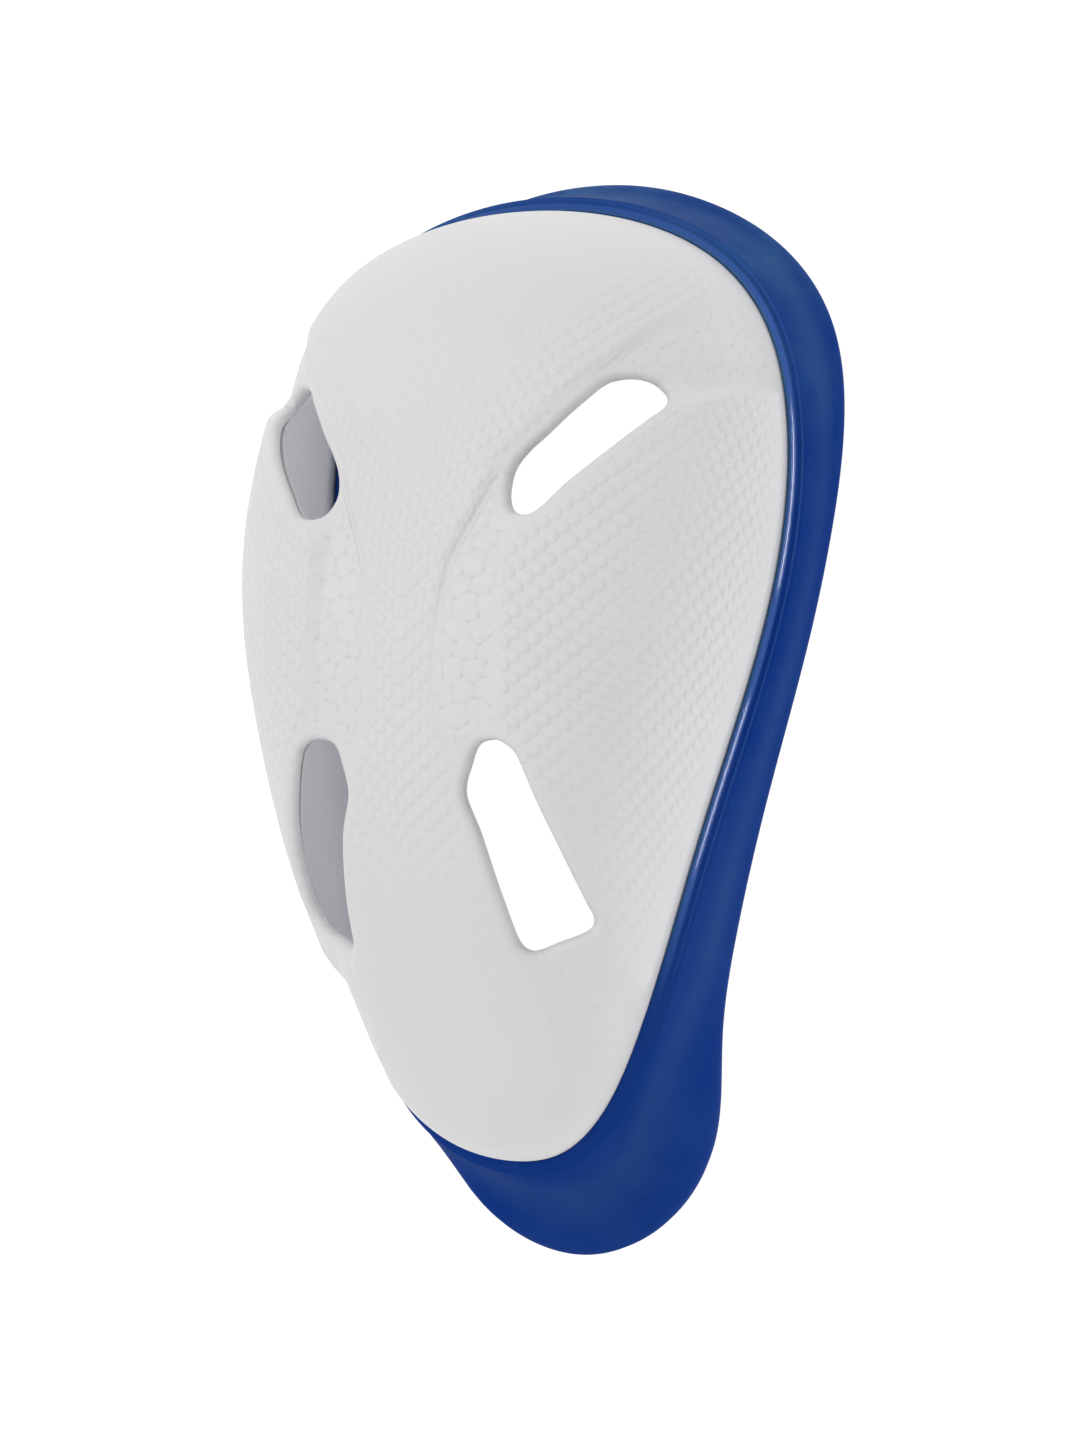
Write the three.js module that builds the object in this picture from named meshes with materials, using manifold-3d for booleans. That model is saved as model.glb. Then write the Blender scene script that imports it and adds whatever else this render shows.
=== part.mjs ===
// Abdominal guard: a hard moulded cup that sits in the groove of a soft rim pad.
// Millimetres. +Z is the guard's front and the guard lies on its rim, +Y is the waist end
// and +X is the wearer's left. The origin is under the middle, on the plane the rim rests on.

import * as THREE from "three";
import { mergeVertices } from "three/addons/utils/BufferGeometryUtils.js";
import Module from "manifold-3d";

// Cup shell
const shellLength = 146;
const shellWidth = 84;
const domeHeight = 40.4;
const shellWall = 2.5;
const skirtDepth = 4;

// Height of the seam between shell and rim above the resting plane, at its highest
const seamHeight = 33;

// Rim pad: how far its lip stands out from the seam, and how it is rounded
const topFlare = 6;
const sideFlare = 4.3;
const bottomFlare = 16.2;
const sideArch = 8;
const topLipRadius = 3;
const bottomLipRadius = 11;
const padBack = 4.4;
const padBackRound = 1.2;
const beadWidth = 1.2;
const beadHeight = 0.3;
const beadOuterDrop = 0.1;
const beadFootDrop = 1.2;
const innerLipWidth = 1.8;
const crestShare = 0.4;
const seatClearance = 0.3;

// Relief of the shell: cheeks stand proud of the body, and a valley runs between them
const cheekRise = 1.2;
const valleyDepth = 1.3;
const stepWidth = 3.2;
const seamFade = 5;

// Finish
const shellColour = 0xdcdcde;
const padColour = 0x12367f;

// Mesh density
const stationsPerRow = 4;
const acrossSteps = 15;
const rimStationsPerRow = 3;
const lipSteps = 3;
const slotCornerSteps = 4;
const tangentStep = 1e-3;
const weldDistance = 1e-4;

// The waist end's flare is shorter than the lower one, so the shell sits off the middle
const shellMiddle = (bottomFlare - topFlare) / 2;

// Rows run from the middle of the waist end down one side to the middle of the lower end.
// along is a share of half the shell length, across of half its width, seam of the seam
// height, dome of the dome height, and fullness is the exponent of the cross-section
const shellRows = [
  { along: 1.008, across: 0, seam: 0.667, dome: 0, fullness: 2.1 },
  { along: 0.984, across: 0.371, seam: 0.655, dome: 0.297, fullness: 2.1 },
  { along: 0.897, across: 0.729, seam: 0.636, dome: 0.582, fullness: 2.15 },
  { along: 0.745, across: 0.938, seam: 0.606, dome: 0.78, fullness: 2.2 },
  { along: 0.547, across: 0.998, seam: 0.588, dome: 0.916, fullness: 2.45 },
  { along: 0.341, across: 1.0, seam: 0.63, dome: 0.995, fullness: 2.8 },
  { along: 0.122, across: 0.95, seam: 0.709, dome: 1.0, fullness: 2.9 },
  { along: -0.097, across: 0.85, seam: 0.788, dome: 0.936, fullness: 2.9 },
  { along: -0.303, across: 0.745, seam: 0.855, dome: 0.851, fullness: 2.9 },
  { along: -0.508, across: 0.652, seam: 0.909, dome: 0.673, fullness: 2.8 },
  { along: -0.7, across: 0.557, seam: 0.961, dome: 0.436, fullness: 2.5 },
  { along: -0.864, across: 0.448, seam: 0.994, dome: 0.267, fullness: 2.2 },
  { along: -0.978, across: 0.245, seam: 0.915, dome: 0.153, fullness: 2.1 },
  { along: -1.011, across: 0, seam: 0.83, dome: 0, fullness: 2.1 },
];

// The lip's distance out from the seam as shares of the three flares, the arch of the
// pad's back as a share of the side arch, and how far the lip radius has grown
const rimRows = [
  { top: 1.05, side: 0, bottom: 0, arch: 0, lip: 0 },
  { top: 0.9, side: 0.36, bottom: 0, arch: 0, lip: 0.04 },
  { top: 0.56, side: 0.6, bottom: 0, arch: 0, lip: 0.07 },
  { top: 0.25, side: 0.73, bottom: 0, arch: 0.06, lip: 0.1 },
  { top: 0.08, side: 0.7, bottom: 0, arch: 0.33, lip: 0.14 },
  { top: 0, side: 0.44, bottom: 0, arch: 0.6, lip: 0.17 },
  { top: 0, side: 0.33, bottom: 0.06, arch: 0.88, lip: 0.21 },
  { top: 0, side: 0.31, bottom: 0.06, arch: 1, lip: 0.24 },
  { top: 0, side: 0.33, bottom: 0.06, arch: 1, lip: 0.29 },
  { top: 0, side: 0.25, bottom: 0.06, arch: 0.81, lip: 0.36 },
  { top: 0, side: 0.3, bottom: 0.185, arch: 0.44, lip: 0.65 },
  { top: 0, side: 1.45, bottom: 0.46, arch: 0, lip: 1 },
  { top: 0, side: 1.5, bottom: 0.815, arch: 0, lip: 0.975 },
  { top: 0, side: 0, bottom: 1.0925, arch: 0, lip: 0.75 },
];

// The pad's hollow flank from the bead's foot to the lip: out is the share of the way out,
// up the share of the height above the middle of the lip
const flankRows = [
  { out: 0.05, up: 0.84 },
  { out: 0.14, up: 0.66 },
  { out: 0.27, up: 0.49 },
  { out: 0.43, up: 0.35 },
  { out: 0.62, up: 0.24 },
  { out: 0.8, up: 0.16 },
  { out: 0.94, up: 0.08 },
  { out: 1, up: 0 },
];

// Edges of the raised panels: along is a share of half the shell length from its middle,
// across a share of half its width
const bodyEdge = [
  { along: 0.862, across: 1.048 },
  { along: 0.775, across: 0.845 },
  { along: 0.678, across: 0.738 },
  { along: 0.6, across: 0.633 },
  { along: 0.5, across: 0.481 },
  { along: 0.408, across: 0.343 },
  { along: 0.334, across: 0.252 },
  { along: 0.248, across: 0.176 },
  { along: 0.136, across: 0.145 },
  { along: -0.029, across: 0.138 },
  { along: -0.111, across: 0.176 },
  { along: -0.193, across: 0.271 },
  { along: -0.303, across: 0.324 },
  { along: -0.412, across: 0.362 },
  { along: -0.508, across: 0.39 },
  { along: -0.727, across: 0.405 },
  { along: -0.837, across: 0.419 },
];
const cheekEdge = [
  { along: 0.725, across: 1.071 },
  { along: 0.623, across: 0.986 },
  { along: 0.588, across: 0.895 },
  { along: 0.56, across: 0.786 },
  { along: 0.5, across: 0.662 },
  { along: 0.421, across: 0.524 },
  { along: 0.349, across: 0.419 },
  { along: 0.273, across: 0.376 },
  { along: 0.163, across: 0.369 },
  { along: 0.053, across: 0.379 },
  { along: -0.042, across: 0.371 },
  { along: -0.138, across: 0.381 },
  { along: -0.275, across: 0.438 },
  { along: -0.412, across: 0.49 },
  { along: -0.508, across: 0.524 },
  { along: -0.59, across: 0.562 },
  { along: -0.673, across: 0.595 },
  { along: -0.755, across: 0.629 },
  { along: -0.864, across: 0.667 },
];
// The valley's share of its full depth
const valleyDepths = [
  { along: 0.862, depth: 0 },
  { along: 0.807, depth: 0.15 },
  { along: 0.725, depth: 0.6 },
  { along: 0.615, depth: 1 },
  { along: 0.41, depth: 1 },
  { along: 0.259, depth: 0.6 },
  { along: 0.095, depth: 0.23 },
  { along: -0.042, depth: 0.19 },
  { along: -0.207, depth: 0.38 },
  { along: -0.536, depth: 0.54 },
  { along: -0.686, depth: 0.38 },
  { along: -0.892, depth: 0.08 },
];

// Corners of the two slots on one side, in order round the slot, in the same shares.
// cut is how much of the corner its rounding takes, in millimetres
const upperSlot = [
  { along: 0.397, across: 0.319, cut: 2.6 },
  { along: 0.318, across: 0.45, cut: 2.4 },
  { along: 0.567, across: 0.815, cut: 2.2 },
  { along: 0.645, across: 0.675, cut: 2.8 },
];
const lowerSlot = [
  { along: -0.127, across: 0.215, cut: 5 },
  { along: -0.108, across: 0.412, cut: 2.4 },
  { along: -0.5, across: 0.557, cut: 2.4 },
  { along: -0.545, across: 0.358, cut: 2.4 },
];

// Value of one column of a table at a place between its rows, as a uniform cubic B-spline.
// Past either end the rows are mirrored, and a column that crosses the middle changes sign
function blend(rows, column, place, crossesMiddle) {
  const last = rows.length - 1;
  const sign = crossesMiddle ? -1 : 1;
  const first = Math.min(Math.floor(place), last - 1);
  const f = place - first;
  const valueAt = (i) => {
    if (i < 0) return sign * rows[-i][column];
    if (i > last) return sign * rows[2 * last - i][column];
    return rows[i][column];
  };
  const weights = [
    (1 - f) ** 3,
    3 * f ** 3 - 6 * f ** 2 + 4,
    -3 * f ** 3 + 3 * f ** 2 + 3 * f + 1,
    f ** 3,
  ];
  return weights.reduce((sum, weight, k) => sum + weight * valueAt(first - 1 + k), 0) / 6;
}

// Straight-line reading of one column of a table at a share along the shell
function readAt(rows, column, along) {
  if (along >= rows[0].along) return rows[0][column];
  for (let i = 1; i < rows.length; i += 1) {
    if (along >= rows[i].along) {
      const share = (along - rows[i].along) / (rows[i - 1].along - rows[i].along);
      return THREE.MathUtils.lerp(rows[i][column], rows[i - 1][column], share);
    }
  }
  return rows[rows.length - 1][column];
}

function signedPower(value, exponent) {
  return Math.sign(value) * Math.abs(value) ** exponent;
}

// Plain dome without its relief: place runs along the rows, turn from -1 at the left
// seam over 0 at the crest to 1 at the right seam
function domePoint(place, turn) {
  const along = shellMiddle + (shellLength / 2) * blend(shellRows, "along", place, false);
  const across = (shellWidth / 2) * blend(shellRows, "across", place, true);
  const seam = seamHeight * blend(shellRows, "seam", place, false);
  const dome = domeHeight * blend(shellRows, "dome", place, true);
  const fullness = blend(shellRows, "fullness", place, false);
  const angle = (turn * Math.PI) / 2;
  return new THREE.Vector3(
    across * signedPower(Math.sin(angle), 2 / fullness),
    along,
    seam + dome * signedPower(Math.cos(angle), 2 / fullness),
  );
}

function domeNormal(place, turn) {
  const last = shellRows.length - 1;
  if (place <= 0) return new THREE.Vector3(0, 1, 0);
  if (place >= last) return new THREE.Vector3(0, -1, 0);
  const step = tangentStep;
  const alongStep = domePoint(place + step, turn).sub(domePoint(place - step, turn));
  const acrossStep = domePoint(place, turn + step).sub(domePoint(place, turn - step));
  return acrossStep.cross(alongStep).negate().normalize();
}

// How far the relief moves the surface out along its normal
function reliefAt(point, heightOverSeam) {
  const along = (point.y - shellMiddle) / (shellLength / 2);
  const across = Math.abs(point.x);
  const halfWidth = shellWidth / 2;
  const overBodyEdge = across - halfWidth * readAt(bodyEdge, "across", along);
  const overCheekEdge = across - halfWidth * readAt(cheekEdge, "across", along);
  const half = stepWidth / 2;
  const offBody = THREE.MathUtils.smoothstep(overBodyEdge, -half, half);
  const onCheek = THREE.MathUtils.smoothstep(overCheekEdge, -half, half);
  const depth = valleyDepth * readAt(valleyDepths, "depth", along);
  const fade = THREE.MathUtils.smoothstep(heightOverSeam, 0, seamFade);
  return fade * (cheekRise * onCheek - depth * offBody * (1 - onCheek));
}

function shellPoint(place, turn, depth) {
  const point = domePoint(place, turn);
  const seam = seamHeight * blend(shellRows, "seam", place, false);
  const move = reliefAt(point, point.z - seam) - depth;
  return point.addScaledVector(domeNormal(place, turn), move);
}

// Closed geometry from a list of points and triangles, with its faces turned outward
function closedGeometry(points, triangles) {
  let volume = 0;
  for (const [a, b, c] of triangles) {
    volume += points[a].dot(new THREE.Vector3().crossVectors(points[b], points[c]));
  }
  const turned = volume > 0 ? triangles : triangles.map(([a, b, c]) => [a, c, b]);
  const geometry = new THREE.BufferGeometry();
  const coordinates = points.flatMap((point) => [point.x, point.y, point.z]);
  geometry.setAttribute("position", new THREE.Float32BufferAttribute(coordinates, 3));
  geometry.setIndex(turned.flat());
  const merged = mergeVertices(geometry, weldDistance);
  const index = merged.getIndex().array;
  const kept = [];
  for (let i = 0; i < index.length; i += 3) {
    const [a, b, c] = [index[i], index[i + 1], index[i + 2]];
    if (a !== b && b !== c && c !== a) kept.push(a, b, c);
  }
  merged.setIndex(kept);
  return merged;
}

// The whole cup before its slots are cut: two skins joined round the seam by the skirt
function shellBlank() {
  const stations = (shellRows.length - 1) * stationsPerRow;
  const columns = 2 * acrossSteps;
  const points = [];
  const triangles = [];
  const quad = (a, b, c, d) => triangles.push([a, b, c], [a, c, d]);
  const skins = [0, shellWall].map((depth) => {
    const start = points.length;
    for (let i = 0; i <= stations; i += 1) {
      for (let j = 0; j <= columns; j += 1) {
        points.push(shellPoint(i / stationsPerRow, j / acrossSteps - 1, depth));
      }
    }
    return (i, j) => start + i * (columns + 1) + j;
  });
  const [outer, inner] = skins;
  for (let i = 0; i < stations; i += 1) {
    for (let j = 0; j < columns; j += 1) {
      quad(outer(i, j), outer(i + 1, j), outer(i + 1, j + 1), outer(i, j + 1));
      quad(inner(i, j), inner(i, j + 1), inner(i + 1, j + 1), inner(i + 1, j));
    }
  }
  // Round the seam, down the right side and back up the left one
  const loop = [];
  for (let i = 0; i < stations; i += 1) loop.push([i, columns]);
  for (let i = stations; i > 0; i -= 1) loop.push([i, 0]);
  const lowered = (index) => {
    points.push(points[index].clone().add(new THREE.Vector3(0, 0, -skirtDepth)));
    return points.length - 1;
  };
  const outerLow = loop.map(([i, j]) => lowered(outer(i, j)));
  const innerLow = loop.map(([i, j]) => lowered(inner(i, j)));
  loop.forEach(([i, j], k) => {
    const next = (k + 1) % loop.length;
    const [ni, nj] = loop[next];
    quad(outer(i, j), outer(ni, nj), outerLow[next], outerLow[k]);
    quad(outerLow[k], outerLow[next], innerLow[next], innerLow[k]);
    quad(innerLow[k], innerLow[next], inner(ni, nj), inner(i, j));
  });
  return closedGeometry(points, triangles);
}

// Upright prism through the whole cup in the outline of one slot
function slotPrism(corners, side) {
  const at = ({ along, across }) =>
    new THREE.Vector2((side * across * shellWidth) / 2, shellMiddle + (along * shellLength) / 2);
  const shape = new THREE.Shape();
  corners.forEach((corner, i) => {
    const here = at(corner);
    const before = at(corners[(i + corners.length - 1) % corners.length]);
    const after = at(corners[(i + 1) % corners.length]);
    const from = before.sub(here).setLength(corner.cut).add(here);
    const to = after.sub(here).setLength(corner.cut).add(here);
    if (i === 0) shape.moveTo(from.x, from.y);
    else shape.lineTo(from.x, from.y);
    shape.quadraticCurveTo(here.x, here.y, to.x, to.y);
  });
  shape.closePath();
  const depth = seamHeight + domeHeight;
  return new THREE.ExtrudeGeometry(shape, {
    depth,
    bevelEnabled: false,
    curveSegments: slotCornerSteps,
  });
}

// Rim pad section at one place along the rows, as points round it on the right side
function rimSection(place) {
  const seamPoint = domePoint(place, 1);
  const normal = domeNormal(place, 1);
  const lipRadius = THREE.MathUtils.lerp(
    topLipRadius,
    bottomLipRadius,
    blend(rimRows, "lip", place, false),
  );
  const arch = sideArch * blend(rimRows, "arch", place, false);
  const lip = new THREE.Vector3(
    seamPoint.x + sideFlare * blend(rimRows, "side", place, true),
    seamPoint.y +
      topFlare * blend(rimRows, "top", place, false) -
      bottomFlare * blend(rimRows, "bottom", place, false),
    arch + lipRadius,
  );
  const fromSeam = (out, up) => {
    const point = seamPoint.clone().addScaledVector(normal, out);
    point.z = seamPoint.z + up;
    return point;
  };
  const fromLip = (back, height) => {
    const point = lip.clone().addScaledVector(normal, -back);
    point.z = height;
    return point;
  };
  const grooveFloor = -skirtDepth - seatClearance;
  const inside = -shellWall - seatClearance;
  const beadFoot = fromSeam(seatClearance + beadWidth + seatClearance, -beadFootDrop);
  const points = [
    fromSeam(seatClearance, grooveFloor),
    fromSeam(seatClearance, -beadHeight),
    fromSeam(seatClearance + beadWidth * crestShare, beadHeight),
    fromSeam(seatClearance + beadWidth, -beadOuterDrop),
    beadFoot,
  ];
  for (const { out, up } of flankRows) {
    const point = beadFoot.clone().lerp(lip, out);
    point.z = THREE.MathUtils.lerp(lip.z, beadFoot.z, up);
    points.push(point);
  }
  for (let k = 1; k <= lipSteps; k += 1) {
    const angle = (k / lipSteps) * (Math.PI / 2);
    points.push(fromLip(lipRadius * (1 - Math.cos(angle)), lip.z - lipRadius * Math.sin(angle)));
  }
  const backWidth = lipRadius + padBack;
  points.push(fromLip(backWidth - padBackRound, arch));
  points.push(fromLip(backWidth, arch + padBackRound));
  points.push(fromSeam(inside - innerLipWidth, grooveFloor - innerLipWidth));
  points.push(fromSeam(inside - innerLipWidth, -innerLipWidth));
  points.push(fromSeam(inside - innerLipWidth * crestShare, 0));
  points.push(fromSeam(inside, -beadHeight));
  points.push(fromSeam(inside, grooveFloor));
  return points;
}

// Ring of sections, down the right side and back up the left one
function rimGeometry() {
  const stations = (rimRows.length - 1) * rimStationsPerRow;
  const right = [];
  for (let i = 0; i <= stations; i += 1) right.push(rimSection(i / rimStationsPerRow));
  const left = right
    .slice(1, -1)
    .reverse()
    .map((section) => section.map((p) => new THREE.Vector3(-p.x, p.y, p.z)));
  const sections = [...right, ...left];
  const size = sections[0].length;
  const triangles = [];
  sections.forEach((section, i) => {
    const next = (i + 1) % sections.length;
    for (let j = 0; j < size; j += 1) {
      const after = (j + 1) % size;
      triangles.push([i * size + j, next * size + j, next * size + after]);
      triangles.push([i * size + j, next * size + after, i * size + after]);
    }
  });
  return closedGeometry(sections.flat(), triangles);
}

const wasm = await Module();
wasm.setup();

function toSolid(geometry) {
  const bare = geometry.clone();
  bare.deleteAttribute("normal");
  bare.deleteAttribute("uv");
  const merged = mergeVertices(bare, weldDistance);
  return new wasm.Manifold(
    new wasm.Mesh({
      numProp: 3,
      vertProperties: new Float32Array(merged.getAttribute("position").array),
      triVerts: new Uint32Array(merged.getIndex().array),
    }),
  );
}

function toGeometry(solid) {
  const mesh = solid.getMesh();
  const geometry = new THREE.BufferGeometry();
  geometry.setAttribute("position", new THREE.BufferAttribute(mesh.vertProperties, 3));
  geometry.setIndex(new THREE.BufferAttribute(mesh.triVerts, 1));
  return geometry;
}

function cupShell() {
  let solid = toSolid(shellBlank());
  for (const side of [1, -1]) {
    for (const corners of [upperSlot, lowerSlot]) {
      solid = solid.subtract(toSolid(slotPrism(corners, side)));
    }
  }
  const material = new THREE.MeshStandardMaterial({
    color: shellColour,
    roughness: 0.55,
    metalness: 0,
  });
  const mesh = new THREE.Mesh(toGeometry(solid), material);
  mesh.name = "cup_shell";
  return mesh;
}

function rimPad() {
  const material = new THREE.MeshStandardMaterial({
    color: padColour,
    roughness: 0.3,
    metalness: 0,
  });
  const mesh = new THREE.Mesh(rimGeometry(), material);
  mesh.name = "rim_pad";
  return mesh;
}

const guard = new THREE.Group();
guard.add(cupShell(), rimPad());

export default guard;
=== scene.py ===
import math

import bmesh
import bpy
import numpy as np
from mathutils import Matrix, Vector


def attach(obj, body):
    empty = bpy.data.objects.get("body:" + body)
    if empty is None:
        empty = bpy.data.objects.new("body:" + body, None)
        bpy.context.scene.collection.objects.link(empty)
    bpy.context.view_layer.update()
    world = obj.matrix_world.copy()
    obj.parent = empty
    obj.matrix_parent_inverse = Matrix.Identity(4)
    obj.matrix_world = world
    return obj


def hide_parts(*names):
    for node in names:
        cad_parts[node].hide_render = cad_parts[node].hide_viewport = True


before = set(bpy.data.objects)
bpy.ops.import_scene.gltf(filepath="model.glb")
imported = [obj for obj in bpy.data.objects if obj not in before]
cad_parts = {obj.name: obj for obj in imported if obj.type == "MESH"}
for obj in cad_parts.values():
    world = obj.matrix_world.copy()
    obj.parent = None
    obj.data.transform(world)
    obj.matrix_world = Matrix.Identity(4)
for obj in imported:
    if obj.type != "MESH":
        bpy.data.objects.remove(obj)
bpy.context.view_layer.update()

# Camera, level with the guard's middle and 30 degrees to the side of straight above.
# The lens is long and the camera near enough that the cup's height still shows.
camera_turn = math.radians(30)
camera_data = bpy.data.cameras.new("camera")
camera_data.sensor_fit = "VERTICAL"
camera_data.sensor_height = 36
camera_data.lens = 118.74
camera_data.clip_start = 0.01
camera = bpy.data.objects.new("camera", camera_data)
camera.location = (0.3668, -0.0003, 0.6573)
camera.rotation_euler = (0, camera_turn, 0)
bpy.context.scene.collection.objects.link(camera)
bpy.context.scene.camera = camera
bpy.context.scene.view_settings.view_transform = "Standard"


class Value:
    """A number that varies over a surface. Arithmetic on it adds Math nodes."""

    def __init__(self, finish, socket):
        self.finish = finish
        self.socket = socket

    def math(self, operation, *others, clamped=False):
        settings = {"operation": operation, "use_clamp": clamped}
        return self.finish.add("ShaderNodeMath", settings, {0: self, **dict(enumerate(others, 1))})

    def __add__(self, other):
        return self.math("ADD", other)

    def __sub__(self, other):
        return self.math("SUBTRACT", other)

    def __mul__(self, other):
        return self.math("MULTIPLY", other)

    def __truediv__(self, other):
        return self.math("DIVIDE", other)

    def __rsub__(self, other):
        return self.math("MULTIPLY_ADD", -1, other)

    __radd__ = __add__
    __rmul__ = __mul__

    def over_cell(self):
        """Distance from the nearest whole number, with its sign."""
        return self - self.math("ROUND")

    def clamp(self):
        return self.math("ADD", 0, clamped=True)


class Finish:
    """A material under construction, with one method for every node."""

    def __init__(self, name):
        self.material = bpy.data.materials.new(name)
        self.material.use_nodes = True
        self.tree = self.material.node_tree
        self.tree.nodes.clear()

    def add(self, kind, settings=None, sockets=None, output=0):
        node = self.tree.nodes.new(kind)
        for setting, value in (settings or {}).items():
            setattr(node, setting, value)
        for name, value in (sockets or {}).items():
            if isinstance(value, Value):
                self.tree.links.new(value.socket, node.inputs[name])
            else:
                node.inputs[name].default_value = value
        return Value(self, node.outputs[output]) if node.outputs else None

    def attribute(self, name):
        return self.add("ShaderNodeAttribute", {"attribute_name": name}, output="Fac")

    def noise(self, scale, detail=2, roughness=0.5, stretch=(1, 1, 1)):
        """Noise on the object's own coordinates, in features a metre, from 0 to 1."""
        place = self.add("ShaderNodeTexCoord", output="Object")
        spread = self.add("ShaderNodeMapping", {}, {"Vector": place, "Scale": stretch})
        sockets = {"Vector": spread, "Scale": scale, "Detail": detail, "Roughness": roughness}
        return self.add("ShaderNodeTexNoise", {}, sockets)

    def mixed(self, share, first, second):
        """Colour between two colours."""
        sockets = {0: share, 6: first, 7: second}
        return self.add("ShaderNodeMix", {"data_type": "RGBA"}, sockets, output=2)

    def bump(self, height):
        """Normal from a height in millimetres."""
        sockets = {"Strength": 1, "Distance": 0.001, "Height": height}
        return self.add("ShaderNodeBump", {}, sockets)

    def finish(self, kind, sockets):
        surface = self.add(kind, {}, sockets)
        self.add("ShaderNodeOutputMaterial", {}, {"Surface": surface})
        return self.material


# Floor and studio: a pale table that glows, as a light table does, in a pale room with a
# key light, a low light and two narrow strips that show as lines on the rim's bead.
floor_reach = 4
floor_glow = 0.97
room_light = 0.61
floor_mesh = bmesh.new()
bmesh.ops.create_grid(floor_mesh, x_segments=1, y_segments=1, size=floor_reach)
floor_data = bpy.data.meshes.new("floor")
floor_mesh.to_mesh(floor_data)
floor_mesh.free()
floor = bpy.data.objects.new("floor", floor_data)
bpy.context.scene.collection.objects.link(floor)
floor_data.materials.append(
    Finish("pale_table").finish(
        "ShaderNodeBsdfPrincipled",
        {
            "Base Color": (0.2, 0.2, 0.2, 1),
            "Roughness": 0.8,
            "Emission Color": (1, 1, 1, 1),
            "Emission Strength": floor_glow,
        },
    )
)

room = bpy.data.worlds.new("room")
room.use_nodes = True
room.node_tree.nodes["Background"].inputs["Color"].default_value = (1, 1, 1, 1)
room.node_tree.nodes["Background"].inputs["Strength"].default_value = room_light
bpy.context.scene.world = room


def soft_box(name, direction, distance, width, depth, power):
    """Oblong area light that faces the guard's middle. One that stands to the side of it
    has its width along Y."""
    data = bpy.data.lights.new(name, "AREA")
    data.shape = "RECTANGLE"
    data.size = width
    data.size_y = depth
    data.energy = power
    light = bpy.data.objects.new(name, data)
    away = Vector(direction).normalized()
    light.location = Vector((0, 0, 0.03)) + away * distance
    light.rotation_euler = away.to_track_quat("Z", "Y").to_euler()
    bpy.context.scene.collection.objects.link(light)


soft_box("key_box", (-0.4, 0.35, 1), 1.1, 0.8, 0.8, 3.85)
soft_box("upper_strip", (0.72, 0.19, 0.707), 1.03, 0.13, 0.03, 0.22)
soft_box("lower_strip", (0.713, -0.1, 0.723), 1.03, 0.12, 0.03, 0.18)
soft_box("low_box", (0.1, -0.9, 0.6), 1.1, 0.8, 0.5, 0.7)

# Cup: one hard plastic moulding, 2.5 mm thick, with four slots. A raised body runs down its
# middle, a cheek stands up at either side, and a valley parts them. Its skirt sits in the
# rim's groove.
shell_length = 146
shell_width = 84
dome_height = 40.4
shell_wall = 2.5
skirt_depth = 4
seam_height = 33
shell_middle = 5.1
outer_stations = 316
outer_columns = 216
inner_stations = 190
inner_columns = 130

# along and across as shares of half the length and width, then the seam's and the dome's
# height as shares, then the fullness of the cross-section; from the waist end downwards
shell_rows = [
    (1.008, 0, 0.667, 0, 2.1),
    (0.984, 0.371, 0.655, 0.297, 2.1),
    (0.897, 0.729, 0.636, 0.582, 2.15),
    (0.745, 0.938, 0.606, 0.78, 2.2),
    (0.547, 0.998, 0.588, 0.916, 2.45),
    (0.341, 1, 0.63, 0.995, 2.8),
    (0.122, 0.95, 0.709, 1, 2.9),
    (-0.097, 0.85, 0.788, 0.936, 2.9),
    (-0.303, 0.745, 0.855, 0.851, 2.9),
    (-0.508, 0.652, 0.909, 0.673, 2.8),
    (-0.7, 0.557, 0.961, 0.436, 2.5),
    (-0.864, 0.448, 0.994, 0.267, 2.2),
    (-0.978, 0.245, 0.915, 0.153, 2.1),
    (-1.011, 0, 0.83, 0, 2.1),
]
last_row = len(shell_rows) - 1

# Edge of the body and edge of the cheek in plan, x from the middle and y, downwards
body_edge = [
    (40, 66), (33.2, 60.4), (29, 55.6), (24.9, 50.3), (18.9, 42.9), (13.5, 35.7), (10.3, 29.7),
    (7.4, 23.2), (6.1, 15), (5.8, 8), (5.8, 3), (7.4, -3), (11.4, -9), (13.6, -17), (15.2, -25),
    (16.4, -32), (16.6, -41), (17, -48), (17.6, -56),
]
cheek_edge = [
    (45, 58), (41.4, 50.6), (37.6, 48), (33, 46), (27.8, 41.6), (22, 35.8), (17.6, 30.6),
    (15.8, 25), (15.5, 17), (15.9, 9), (15.6, 2), (16, -5), (18.4, -15), (20.6, -25),
    (22, -32), (23.6, -38), (25, -44), (26.4, -50), (28, -58),
]
# How deep the valley is, and how clear the crease beside the body, by y
valley_depths = [
    (-60, 0.1), (-45, 0.5), (-34, 0.7), (-10, 0.5), (2, 0.25), (12, 0.3), (24, 0.8), (35, 1.3),
    (50, 1.3), (58, 0.8), (64, 0.2), (68, 0),
]
crease_strengths = [(-60, 0), (-12, 0.25), (5, 0.2), (16, 0.4), (30, 1), (53, 1), (60, 0)]
cheek_rise = 1.2
seam_fade = 5

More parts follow.
